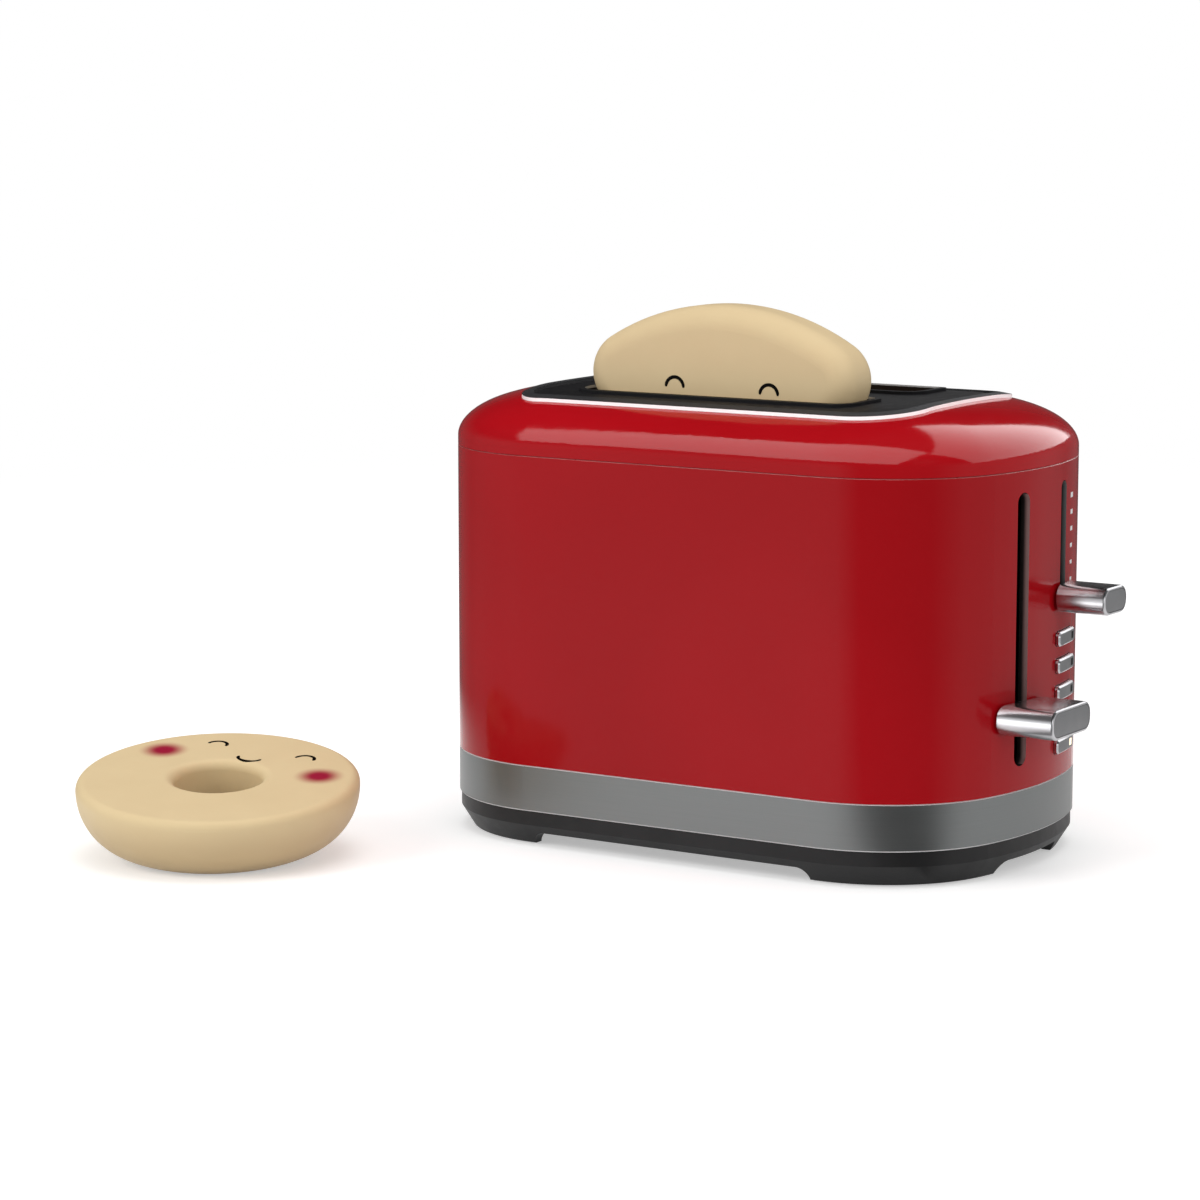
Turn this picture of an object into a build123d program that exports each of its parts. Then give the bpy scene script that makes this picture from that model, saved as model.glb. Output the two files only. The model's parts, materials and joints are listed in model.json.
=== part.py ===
from build123d import *
from math import cos, radians, sin, sqrt
import os

# Two-slot toy toaster, in millimetres.
# The origin is the centre of the body's plan on the floor. +X points to the
# control end, -Y to the long face in front of the loaded slot, +Z up.

# ---- body plan: straight sides, round corners, bulging ends --------------
# The length follows from the bread slots, the blank end and the control bay.
blank_end = 48.4
body_width = 124.0
body_corner = 45.5
body_bulge = 108.0
wall = 3.0

# ---- heights, stacked from the floor -------------------------------------
# The shell is as tall as its column of keys and slider needs.
base_height = 11.4
band_height = 14.8
key_margin = 9.7
slider_key_gap = 13.1
slider_seam_gap = 10.5
lever_seam_gap = 14.6
cover_strip = 2.6
cover_crown = 15.7

# ---- gaps ----------------------------------------------------------------
fit_gap = 0.2
run_gap = 0.3
bush_gap = 0.06
seam_bevel = 0.4

# ---- base tray -----------------------------------------------------------
base_inset = 0.6
foot_inset = 4.6
taper_height = 6.8
skirt_height = 4.3
foot_clearance = 0.4
side_arch = 100.0
end_arch = 40.0
arch_corner = 4.0
base_floor = 3.0
rim_wall = 2.0
rim_height = 20.0
foot_x = 66.0
foot_y = 42.0
pad_radius = 8.0
pad_thickness = 2.4
foot_boss_radius = 9.5

# ---- screws --------------------------------------------------------------
screw_radius = 1.5
screw_head_radius = 3.0
screw_head_height = 2.2
screw_length = 18.0
short_screw_length = 6.0
post_radius = 4.0
post_height = 34.0
rib_thickness = 2.0

# ---- battery bay ---------------------------------------------------------
cell_radius = 7.1
cell_length = 50.0
cell_gap = 0.4
bay_wall = 2.0
door_thickness = 2.0
door_lip = 2.5
door_tab = 9.0

# ---- crown of the cover and the panel in it ------------------------------
crown_reach = 36.0
panel_blank_border = 15.7
panel_control_border = 22.2
panel_side_border = 11.5
panel_blank_corner = 11.0
panel_control_corner = 20.0
cover_skin = 2.2
cover_lip = 4.0
crown_steps = 6
trim_height = 1.1
trim_wall = 1.4
panel_depth = 5.3
panel_ledge = 2.2
ledge_thickness = 2.4

# ---- bread slots ---------------------------------------------------------
slot_pitch = 44.0
slot_length = 101.6
slot_width = 26.0
slot_corner = 8.0
slot_trim_width = 1.9
slot_trim_height = 0.9
slot_neck = 0.9
liner_wall = 1.5
liner_floor = 2.0
liner_flange = 1.0

# ---- lift ----------------------------------------------------------------
lever_rise = 61.0
lever_drop = 8.0
lever_y = -14.3
lever_slot_width = 6.5
lever_slot_gap = 0.45
arm_width = 5.0
arm_height = 8.0
deck_crown_gap = 12.3
cradle_end_gap = 3.0
spine_width = 8.0
spine_height = 4.0
cradle_rib_count = 7
cradle_rib_width = 18.0
cradle_rib_length = 3.0
cradle_rib_height = 1.5
neck_gap = 1.0
yoke_gap = 2.5
yoke_thickness = 4.0
yoke_margin = 4.0
rod_radius = 2.0
rod_offset_x = 10.0
bush_wall = 3.0
bush_length = 16.0
spring_wire = 0.45
spring_turns = 8
spring_gap = 0.9
chassis_thickness = 3.0
chassis_depth = 14.0
post_clearance = 1.0
bridge_gap = 3.0
bridge_thickness = 4.0
upright_gap = 4.0

# ---- knobs ---------------------------------------------------------------
knob_gap = 1.2
lever_knob_width = 27.0
lever_knob_height = 9.3
lever_knob_reach = 16.3
slider_knob_width = 16.5
slider_knob_height = 8.6
slider_knob_reach = 17.3
knob_corner = 3.9
knob_bevel = 1.0
knob_face_rim = 1.5
knob_face_depth = 1.0
knob_face_gap = 0.1
knob_socket = 8.0

# ---- browning slider -----------------------------------------------------
slider_y = 13.5
slider_rise = 31.5
slider_slot_width = 5.0
slider_slot_gap = 0.2
slider_stem_width = 3.8
slider_stem_height = 4.0
pot_gap = 4.3
pot_depth = 6.0
pot_width = 10.0
pot_end = 3.5
pot_groove_depth = 4.0
pot_engagement = 3.2

# ---- push buttons --------------------------------------------------------
button_count = 5
button_pitch = 8.5
button_y = 16.0
button_width = 16.0
button_height = 4.5
button_corner = 1.6
button_proud = 1.5
button_bevel = 0.5
button_travel = 1.2
button_flange = 1.3
button_flange_thickness = 1.5
button_stem_radius = 1.6
lens_y = 4.6
lens_width = 2.4
lens_height = 2.2
lens_depth = 0.8
switch_size = 6.4
switch_depth = 3.6

# ---- circuit board -------------------------------------------------------
board_thickness = 1.6
board_width = 27.0
board_y = 15.5
board_gap = 12.0
board_top_margin = 1.0
board_screw_inset = 4.0

# ---- toy slice -----------------------------------------------------------
slice_offset = 0.8
slice_end_gap = 0.5
slice_side_gap = 0.6
slice_height = 102.0
slice_half_width = 40.0
slice_crown_rise = 22.5
lobe_radius = 13.0
neck_radius = 10.0
slice_foot_corner = 12.0
slice_edge = 7.5

# ---- loose half bagel ----------------------------------------------------
bagel_x = -128.2
bagel_y = -120.5
bagel_radius = 44.6
bagel_hole = 14.0
bagel_height = 21.0
bagel_edge = 3.0
bagel_tilt = 8.0
bagel_turn = 32.0

# ---- levels that follow --------------------------------------------------
band_z = base_height
shell_z = band_z + band_height
button_low = shell_z + key_margin
slider_height = button_low + (button_count - 1) * button_pitch + slider_key_gap
seam_z = slider_height + slider_rise + slider_seam_gap
crown_z = seam_z + cover_strip
crown_top = crown_z + cover_crown
floor_low = taper_height
floor_high = floor_low + base_floor
panel_low = crown_top - panel_depth
lever_height = seam_z - lever_seam_gap - lever_rise
deck_height = crown_top - deck_crown_gap - lever_rise
lift_bottom = deck_height - lever_drop - spine_height
liner_floor_z = lift_bottom - run_gap - 1.0
liner_low = liner_floor_z - liner_floor
yoke_low = lever_height - arm_height / 2 - yoke_margin / 2
bush_high = yoke_low + bush_length
bridge_z = bush_high + lever_rise + bridge_gap
bridge_top = bridge_z + bridge_thickness
board_top = bridge_top + board_top_margin

# ---- stations along X, from the wells out to the control end -------------
control_bay = yoke_gap + yoke_thickness + rod_offset_x + chassis_depth / 2
control_bay += board_gap + board_thickness + pot_depth + pot_gap + wall
liner_overhang = liner_wall - slot_trim_width
body_length = blank_end + slot_length + liner_overhang + control_bay
liner_end = body_length / 2 - control_bay
slot_x = liner_end - liner_overhang - slot_length / 2
flange_inset = -liner_overhang - liner_flange
yoke_x = liner_end + yoke_gap
yoke_face = yoke_x + yoke_thickness
rod_x = yoke_face + rod_offset_x
chassis_x = rod_x - chassis_depth / 2
board_x = rod_x + chassis_depth / 2 + board_gap
board_face = board_x + board_thickness
pot_face = board_face + pot_depth
end_cut = body_length / 2 - 3 * wall
end_clear = body_length / 2 + 2 * wall

# ---- widths across Y -----------------------------------------------------
panel_length = slot_length + panel_blank_border + panel_control_border
panel_x = slot_x + (panel_control_border - panel_blank_border) / 2
panel_width = slot_pitch + slot_width + 2 * panel_side_border
upright_y = foot_y - post_radius - post_clearance - chassis_thickness
yoke_half = upright_y - upright_gap
rod_y = yoke_half - yoke_margin
bush_radius = rod_radius + bush_wall
cradle_length = slot_length - 2 * slot_trim_width - 2 * cradle_end_gap
slice_thickness = slot_width - 2 * slot_trim_width - 2 * slice_side_gap
lobe_height = slice_height - slice_crown_rise
lobe_half_width = slot_length / 2 - slot_trim_width - slice_offset - slice_end_gap


# ---- helpers -------------------------------------------------------------
def rounded_plan(length, width, corner, bulge):
    """Plan face with straight sides, round corners and arched ends."""
    end_centre = length / 2 - bulge
    corner_y = width / 2 - corner
    corner_x = end_centre + sqrt((bulge - corner) ** 2 - corner_y ** 2)
    reach = bulge / (bulge - corner)
    meet_x = end_centre + (corner_x - end_centre) * reach
    meet_y = corner_y * reach
    lean = Vector(meet_x - corner_x, meet_y - corner_y).normalized() + Vector(0, 1)
    middle = Vector(corner_x, corner_y) + lean.normalized() * corner

    def corner_arc(sx, sy):
        ends = [(sx * meet_x, sy * meet_y), (sx * corner_x, sy * width / 2)]
        return ThreePointArc(ends[0], (sx * middle.X, sy * middle.Y), ends[1])

    edges = [ThreePointArc((meet_x, -meet_y), (length / 2, 0), (meet_x, meet_y))]
    edges.append(corner_arc(1, 1))
    edges.append(Line((corner_x, width / 2), (-corner_x, width / 2)))
    edges.append(corner_arc(-1, 1))
    edges.append(ThreePointArc((-meet_x, meet_y), (-length / 2, 0), (-meet_x, -meet_y)))
    edges.append(corner_arc(-1, -1))
    edges.append(Line((-corner_x, -width / 2), (corner_x, -width / 2)))
    edges.append(corner_arc(1, -1))
    return Face(Wire(edges))


def body_plan(inset):
    """The body's plan, drawn in by the inset all round."""
    length = body_length - 2 * inset
    width = body_width - 2 * inset
    return rounded_plan(length, width, body_corner - inset, body_bulge - inset)


def panel_plan(inset):
    """The panel opening's plan, rounder at the control end, drawn in by the inset all round."""
    outline = Pos(panel_x, 0) * Rectangle(panel_length - 2 * inset, panel_width - 2 * inset)
    outline = fillet(outline.vertices().group_by(Axis.X)[0], panel_blank_corner - inset)
    return fillet(outline.vertices().group_by(Axis.X)[-1], panel_control_corner - inset)


def slot_plan(inset):
    """One bread slot's plan, drawn in by the inset all round."""
    length = slot_length - 2 * inset
    return Pos(slot_x, 0) * RectangleRounded(length, slot_width - 2 * inset, slot_corner - inset)


def slab(face, low, high):
    """A face in plan, drawn up between two heights."""
    return extrude(Pos(0, 0, low) * face, amount=high - low, dir=(0, 0, 1))


def ring(plan, outer, inner, low, high):
    """A wall between two insets of a plan and two heights."""
    return slab(plan(outer), low, high) - slab(plan(inner), low, high)


def block(x, y, z):
    """A box from its three (low, high) pairs."""
    size = (x[1] - x[0], y[1] - y[0], z[1] - z[0])
    return Pos(x[0], y[0], z[0]) * Box(*size, align=(Align.MIN, Align.MIN, Align.MIN))


def around(centre, size):
    """The (low, high) pair of a size about its centre."""
    return (centre - size / 2, centre + size / 2)


def upright_cylinder(x, y, radius, low, high):
    """A round bar standing along Z."""
    return Pos(x, y, low) * Cylinder(radius, high - low, align=(Align.CENTER, Align.CENTER, Align.MIN))


def end_bar(x_low, x_high, y, z, radius):
    """A round bar lying along X."""
    return end_prism(Circle(radius), y, z, x_low, x_high)


def end_prism(outline, y, z, x_low, x_high):
    """An outline in the end view, drawn out along X."""
    return extrude(Plane.YZ.offset(x_low) * Pos(y, z) * outline, amount=x_high - x_low, dir=(1, 0, 0))


def corners(x, y):
    """The four mirrored places of a corner feature."""
    return [(sx * x, sy * y) for sx in (-1, 1) for sy in (-1, 1)]


def screw(x, y, low, length, head_up):
    """A pan-head screw standing along Z, its head at one end."""
    shank = upright_cylinder(x, y, screw_radius, low, low + length)
    if head_up:
        return shank + upright_cylinder(x, y, screw_head_radius, low + length, low + length + screw_head_height)
    return shank + upright_cylinder(x, y, screw_head_radius, low - screw_head_height, low)


# ---- base, feet and batteries --------------------------------------------
pad_top = pad_thickness
foot_screw_low = pad_top + fit_gap + screw_head_height
bay_x = (-cell_length / 2 - cell_gap, cell_length / 2 + cell_gap)
bay_half_width = 2 * cell_radius + 1.5 * cell_gap
bay_floor = floor_low + door_thickness
bay_roof = bay_floor + 2 * cell_radius + 2 * cell_gap
door_x = (bay_x[0] - door_lip, bay_x[1] + door_lip + door_tab)
door_half_width = bay_half_width + door_lip
door_screw_x = bay_x[1] + door_lip + door_tab / 2
chassis_screw_y = rod_y / 2


def make_base():
    """Moulded tray: tapered skirt on four corner feet, floor, locating rim, battery bay and bosses."""
    tray = loft([Pos(0, 0, foot_clearance) * body_plan(foot_inset), Pos(0, 0, taper_height) * body_plan(base_inset)])
    tray += slab(body_plan(base_inset), taper_height, band_z)
    tray -= slab(body_plan(foot_inset + wall), 0, floor_low)
    tray -= slab(body_plan(wall + fit_gap + rim_wall), floor_high, band_z)
    tray += ring(body_plan, wall + fit_gap, wall + fit_gap + rim_wall, floor_high, band_z + rim_height)
    tray -= arch(side_arch, Plane.XZ)
    tray -= arch(end_arch, Plane.YZ)
    outer_x = (bay_x[0] - door_lip - bay_wall, door_x[1] + bay_wall)
    outer_half = door_half_width + bay_wall
    tray += block(outer_x, (-outer_half, outer_half), (floor_low, bay_roof + bay_wall))
    tray -= block(bay_x, (-bay_half_width, bay_half_width), (0, bay_roof))
    tray -= block(door_x, (-door_half_width, door_half_width), (0, bay_floor))
    tray -= upright_cylinder(door_screw_x, 0, screw_radius, bay_floor, bay_floor + short_screw_length)
    for x, y in corners(foot_x, foot_y):
        tray += upright_cylinder(x, y, foot_boss_radius, foot_clearance, floor_low)
        tray -= upright_cylinder(x, y, pad_radius + fit_gap, 0, pad_top)
        tray -= upright_cylinder(x, y, screw_head_radius + fit_gap, 0, foot_screw_low)
        tray -= upright_cylinder(x, y, screw_radius + fit_gap, 0, floor_high)
    for y in (-chassis_screw_y, chassis_screw_y):
        tray += upright_cylinder(rod_x, y, post_radius, floor_low - screw_head_height, floor_low)
        tray -= upright_cylinder(rod_x, y, screw_radius, floor_high + chassis_thickness - short_screw_length, floor_high)
    return tray


def arch(width, plane):
    """Cutter for the raised skirt between two feet, its upper corners round."""
    outline = RectangleRounded(width, 2 * skirt_height, arch_corner)
    return extrude(plane * outline, amount=body_length, both=True)


def make_foot_pads():
    """Four rubber pads in the feet."""
    pads = [upright_cylinder(x, y, pad_radius, 0, pad_top) for x, y in corners(foot_x, foot_y)]
    return Part() + pads


def make_base_screws():
    """Four screws behind the pads, up into the shell's posts."""
    return Part() + [screw(x, y, foot_screw_low, screw_length, False) for x, y in corners(foot_x, foot_y)]


def make_battery_door():
    """Flush door under the bay, with its screw hole."""
    x = (door_x[0] + fit_gap, door_x[1] - fit_gap)
    half = door_half_width - fit_gap
    door = block(x, (-half, half), (floor_low, bay_floor))
    door -= upright_cylinder(door_screw_x, 0, screw_radius + fit_gap, floor_low, bay_floor)
    finger_pull = Pos(door_x[0] + door_lip, 0, floor_low) * Cylinder(door_lip / 2, door_thickness)
    return door - finger_pull


def make_door_screw():
    """The door's one screw."""
    return screw(door_screw_x, 0, floor_low, short_screw_length, False)


def make_battery_cells():
    """Two cells side by side in the bay."""
    cells = Part()
    for side in (-1, 1):
        y = side * (cell_radius + cell_gap / 2)
        z = bay_floor + cell_gap + cell_radius
        cells += end_bar(-cell_length / 2, cell_length / 2 - 1.5, y, z, cell_radius)
        cells += end_bar(cell_length / 2 - 1.5, cell_length / 2, y, z, cell_radius / 3)
    return cells


# ---- outer casing --------------------------------------------------------
def make_band():
    """Metal band between the base and the shell, bevelled along both edges."""
    outer = slab(body_plan(0), band_z, shell_z)
    rims = outer.edges().group_by(Axis.Z)
    outer = chamfer(rims[0] + rims[-1], seam_bevel)
    return outer - slab(body_plan(wall), band_z, shell_z)


def make_shell():
    """Tall casing wall with its control openings and four screw posts."""
    shell = slab(body_plan(0), shell_z, seam_z)
    rims = shell.edges().group_by(Axis.Z)
    shell = chamfer(rims[-1], seam_bevel)
    shell -= slab(body_plan(wall), shell_z, seam_z)
    rib_low = band_z + rim_height + fit_gap
    rib_high = shell_z + post_height
    inside = slab(body_plan(wall / 2), shell_z, seam_z)
    for x, y in corners(foot_x, foot_y):
        post = upright_cylinder(x, y, post_radius, floor_high, rib_high)
        reach = (min(y, y * 2), max(y, y * 2))
        rib = block(around(x, rib_thickness), reach, (rib_low, rib_high)) & inside
        shell += post + rib
        shell -= upright_cylinder(x, y, screw_radius, floor_high, foot_screw_low + screw_length)
    for cutter in control_openings():
        shell -= cutter
    return shell


def control_openings():
    """Cutters for the lever slot, the slider slot and the button openings."""
    lever_length = lever_rise + lever_drop + arm_height + lever_slot_width + 2 * lever_slot_gap
    lever_middle = lever_height + (lever_rise - lever_drop) / 2
    slider_length = slider_rise + slider_stem_height + slider_slot_width + 2 * slider_slot_gap
    slider_middle = slider_height + slider_rise / 2
    cutters = [end_prism(SlotOverall(lever_length, lever_slot_width, 90), lever_y, lever_middle, end_cut, end_clear)]
    cutters.append(end_prism(SlotOverall(slider_length, slider_slot_width, 90), slider_y, slider_middle, end_cut, end_clear))
    for z in button_heights():
        opening = button_outline(fit_gap)
        cutters.append(end_prism(opening, button_y, z, end_cut, end_clear))
    return cutters


def crown_solid(inset, drop):
    """The crowned form: a short upright strip, then an elliptic shoulder that levels off all round."""
    sections = []
    for step in range(crown_steps + 1):
        turn = radians(90 * step / crown_steps)
        reach = crown_reach * (1 - cos(turn))
        height = crown_z + cover_crown * sin(turn) - drop
        sections.append(Pos(0, 0, height) * body_plan(reach + inset))
    strip = slab(body_plan(inset), seam_z, crown_z - drop)
    return strip + loft(sections)


def make_cover():
    """Crowned cover with its lip in the shell and a ledge for the panel."""
    cover = crown_solid(0, 0) - crown_solid(wall, cover_skin)
    lip_inner = wall + fit_gap + rim_wall
    cover += ring(body_plan, wall + fit_gap, lip_inner, seam_z - cover_lip, seam_z + cover_strip)
    cover += ring(body_plan, wall / 2, lip_inner, seam_z, seam_z + cover_strip)
    ledge_low = panel_low - ledge_thickness
    seat = trim_wall + 2 * fit_gap + rim_wall
    frame = slab(panel_plan(-rim_wall), ledge_low, crown_top)
    cover += frame & crown_solid(wall / 2, cover_skin / 2)
    cover -= slab(panel_plan(rim_wall), panel_low, crown_top)
    cover -= slab(panel_plan(seat + panel_ledge), ledge_low, crown_top)
    for y in (-slot_pitch / 2, slot_pitch / 2):
        cover -= Pos(0, y, 0) * slab(slot_plan(flange_inset - fit_gap), ledge_low, panel_low)
    return cover


def crown_layer(face, height):
    """A layer of even height on the crown, under a face in plan."""
    layer = slab(face, panel_low, crown_top + height) & crown_solid(0, -height)
    return layer - crown_solid(0, 0)


def make_panel_trim():
    """Bright frame round the panel: a flange that follows the crown and a wall down its opening."""
    inner = rim_wall + fit_gap + trim_wall
    trim = crown_layer(panel_plan(0), trim_height)
    trim += slab(panel_plan(rim_wall + fit_gap), panel_low, crown_top) & crown_solid(0, 0)
    return trim - slab(panel_plan(inner), panel_low, crown_top + trim_height)


def make_panel():
    """Dark crowned panel on the cover's ledge, with both slot openings."""
    panel = slab(panel_plan(rim_wall + trim_wall + 2 * fit_gap), panel_low, crown_top) & crown_solid(0, 0)
    for y in (-slot_pitch / 2, slot_pitch / 2):
        panel -= Pos(0, y, 0) * slab(slot_plan(slot_trim_width - slot_neck - fit_gap), panel_low, crown_top)
    return panel


def make_slot_trim(y):
    """Bright ring round one slot, its neck down through the panel."""
    place = Pos(0, y, 0)
    trim = crown_layer(place * slot_plan(0), slot_trim_height)
    trim += slab(place * slot_plan(slot_trim_width - slot_neck), panel_low, crown_top) & crown_solid(0, 0)
    return trim - slab(place * slot_plan(slot_trim_width), panel_low, crown_top + slot_trim_height)


def make_liner(y):
    """Bread well under one slot, flanged to the panel and slit for the cradle's neck."""
    well = slab(slot_plan(slot_trim_width - liner_wall), liner_low, panel_low)
    well += slab(slot_plan(flange_inset), panel_low - liner_wall, panel_low)
    well -= slab(slot_plan(slot_trim_width), liner_floor_z, panel_low)
    slit_high = deck_height + lever_rise + neck_gap
    slit = block((slot_x, yoke_x), around(0, spine_width + 2 * neck_gap), (liner_floor_z, slit_high))
    return Pos(0, y, 0) * (well - slit)


# ---- lift ----------------------------------------------------------------
def make_chassis():
    """Portal frame that holds the guide rods and the circuit board."""
    x = (chassis_x, chassis_x + chassis_depth)
    y = (-upright_y - chassis_thickness, upright_y + chassis_thickness)
    foot_top = floor_high + chassis_thickness
    frame = block(x, y, (floor_high, foot_top))
    frame += block(x, y, (bridge_z, bridge_top))
    for side in (-1, 1):
        inner = side * upright_y
        outer = side * (upright_y + chassis_thickness)
        frame += block(x, (min(inner, outer), max(inner, outer)), (foot_top, bridge_z))
        frame -= upright_cylinder(rod_x, side * rod_y, rod_radius, foot_top - chassis_thickness / 2, bridge_top)
        frame -= upright_cylinder(rod_x, side * chassis_screw_y, screw_radius + fit_gap, floor_high, foot_top)
    for y in board_screw_places():
        frame += block((x[1], board_x), around(y, 2 * post_radius), (bridge_z, bridge_top))
        frame -= end_bar(board_face - short_screw_length, board_x, y, board_screw_z, screw_radius)
    return frame


board_screw_z = bridge_z + bridge_thickness / 2


def board_screw_places():
    """Y of the two screws that hold the board."""
    reach = board_width / 2 - board_screw_inset
    return (board_y - reach, board_y + reach)


def make_chassis_screws():
    """Two screws through the chassis foot into the base."""
    low = floor_high + chassis_thickness - short_screw_length
    return Part() + [screw(rod_x, side * chassis_screw_y, low, short_screw_length, True) for side in (-1, 1)]


def make_guide_rods():
    """Two steel rods that guide the lift."""
    low = floor_high + chassis_thickness / 2
    return Part() + [upright_cylinder(rod_x, side * rod_y, rod_radius, low, bridge_top) for side in (-1, 1)]


def make_carriage():
    """Yoke across both wells, on two bushes round the rods."""
    z = (yoke_low, deck_height)
    yoke = block((yoke_x, yoke_face), (-yoke_half, yoke_half), z)
    for side in (-1, 1):
        y = side * rod_y
        yoke += block((yoke_face, rod_x), around(y, bush_radius), (yoke_low, bush_high))
        yoke += upright_cylinder(rod_x, y, bush_radius, yoke_low, bush_high)
        yoke -= upright_cylinder(rod_x, y, rod_radius + bush_gap, yoke_low, bush_high)
    window_z = (lever_height + arm_height / 2 + yoke_margin, deck_height - spine_height - yoke_margin)
    window_half = rod_y - bush_radius - yoke_margin
    return yoke - block((yoke_x, yoke_face), (-window_half, window_half), window_z)


def make_cradle(y):
    """Bread rest in one well: a spine with cross ribs, held at the yoke."""
    spine_top = deck_height - cradle_rib_height
    z = (deck_height - spine_height, spine_top)
    blank_tip = slot_x - cradle_length / 2
    cradle = block((blank_tip, yoke_x), around(y, spine_width), z)
    spacing = (cradle_length - cradle_rib_length) / (cradle_rib_count - 1)
    for index in range(cradle_rib_count):
        x = blank_tip + cradle_rib_length / 2 + index * spacing
        cradle += block(around(x, cradle_rib_length), around(y, cradle_rib_width), (spine_top, deck_height))
    return cradle


def make_spring(side):
    """Lift spring round one rod, from the chassis foot to the bush."""
    low = floor_high + chassis_thickness + spring_wire + fit_gap
    height = yoke_low - low - spring_wire - fit_gap
    coil = Helix(height / spring_turns, height, rod_radius + spring_gap + spring_wire)
    start = Plane(coil @ 0, z_dir=coil % 0)
    return Pos(rod_x, side * rod_y, low) * sweep(start * Circle(spring_wire), coil)


def make_lever_arm():
    """Flat arm from the yoke out through the lever slot into the knob."""
    x = (yoke_face, body_length / 2 + knob_gap + knob_socket)
    return block(x, around(lever_y, arm_width), around(lever_height, arm_height))


# ---- knobs ---------------------------------------------------------------
def make_knob(width, height, reach, y, z, stem_width, stem_height):
    """Bar knob whose back follows the end wall, with a socket and a pocket for its face."""
    front = body_length / 2 + reach
    bar = end_prism(RectangleRounded(width, height, knob_corner), y, z, end_cut, front)
    bar = chamfer(bar.faces().sort_by(Axis.X)[-1].edges(), knob_bevel)
    bar -= slab(body_plan(-knob_gap), z - height, z + height)
    bar -= end_prism(knob_face_outline(width, height, 0), y, z, front - knob_face_depth, front)
    stem = RectangleRounded(stem_width + 2 * fit_gap, stem_height + 2 * fit_gap, fit_gap)
    return bar - end_prism(stem, y, z, end_cut, body_length / 2 + knob_gap + knob_socket)


def knob_face_outline(width, height, gap):
    """Outline of a knob's front face plate."""
    inset = knob_face_rim + gap
    return RectangleRounded(width - 2 * inset, height - 2 * inset, knob_corner - inset)


def make_knob_face(width, height, reach, y, z):
    """Flat plate let into a knob's front."""
    front = body_length / 2 + reach
    outline = knob_face_outline(width, height, knob_face_gap)
    return end_prism(outline, y, z, front - knob_face_depth, front)


# ---- controls ------------------------------------------------------------
def button_heights():
    """Z of each button, from the lowest up."""
    return [button_low + index * button_pitch for index in range(button_count)]


def button_outline(gap):
    """Outline of a button, or of its opening with a gap."""
    return RectangleRounded(button_width + 2 * gap, button_height + 2 * gap, button_corner + gap)


def make_button(z):
    """Key that follows the end wall's curve, with a flange behind the wall and a stem."""
    inside = wall + run_gap
    cap_reach = end_prism(button_outline(0), button_y, z, end_cut, end_clear)
    cap = cap_reach & slab(body_plan(-button_proud), z - button_height, z + button_height)
    cap = chamfer(cap.faces().sort_by(Axis.X)[-1].edges(), button_bevel)
    cap -= slab(body_plan(inside), z - button_height, z + button_height)
    flange_reach = end_prism(button_outline(button_flange), button_y, z, end_cut - wall, end_clear)
    flange_ring = ring(body_plan, inside, inside + button_flange_thickness, z - button_height, z + button_height)
    stem = end_bar(board_face + button_travel + run_gap, end_cut, button_y, z, button_stem_radius)
    stem_root = end_bar(end_cut, end_clear, button_y, z, button_stem_radius)
    stem_root &= slab(body_plan(inside), z - button_height, z + button_height)
    return cap + (flange_reach & flange_ring) + stem + stem_root - lens_block(z, 0)


def lens_block(z, gap):
    """The indicator window of one button, following the key's front."""
    outline = Rectangle(lens_width - 2 * gap, lens_height - 2 * gap)
    reach = end_prism(outline, button_y + lens_y, z, end_cut, end_clear)
    window_ring = ring(body_plan, -button_proud, lens_depth - button_proud, z - button_height, z + button_height)
    return reach & window_ring


def make_switches():
    """Five key switches on the board, bored for the button stems."""
    switches = Part()
    for z in button_heights():
        body = block((board_face, board_face + switch_depth), around(button_y, switch_size), around(z, switch_size))
        switches += body - end_bar(board_face, board_face + switch_depth, button_y, z, button_stem_radius + fit_gap)
    return switches


def make_board():
    """Circuit board that stands on the base behind the controls."""
    x = (board_x, board_face)
    board = block(x, around(board_y, board_width), (floor_high, board_top))
    for y in board_screw_places():
        board -= end_bar(board_x, board_face, y, board_screw_z, screw_radius + fit_gap)
    return board


def make_board_screws():
    """Two screws through the board into the chassis."""
    screws = Part()
    for y in board_screw_places():
        screws += end_bar(board_face - short_screw_length, board_face, y, board_screw_z, screw_radius)
        screws += end_bar(board_face, board_face + screw_head_height, y, board_screw_z, screw_head_radius)
    return screws


def make_slide_control():
    """Slide potentiometer body on the board, grooved for the slider's stem."""
    travel = slider_rise + slider_stem_height + 2 * run_gap
    middle = slider_height + slider_rise / 2
    body = block((board_face, pot_face), around(slider_y, pot_width), around(middle, travel + 2 * pot_end))
    groove_x = (pot_face - pot_groove_depth, pot_face)
    return body - block(groove_x, around(slider_y, slider_stem_width + 2 * run_gap), around(middle, travel))


def make_slider_stem():
    """Flat stem from the slide control out through the slider slot."""
    x = (pot_face - pot_engagement, body_length / 2 + knob_gap + knob_socket)
    return block(x, around(slider_y, slider_stem_width), around(slider_height, slider_stem_height))


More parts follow.
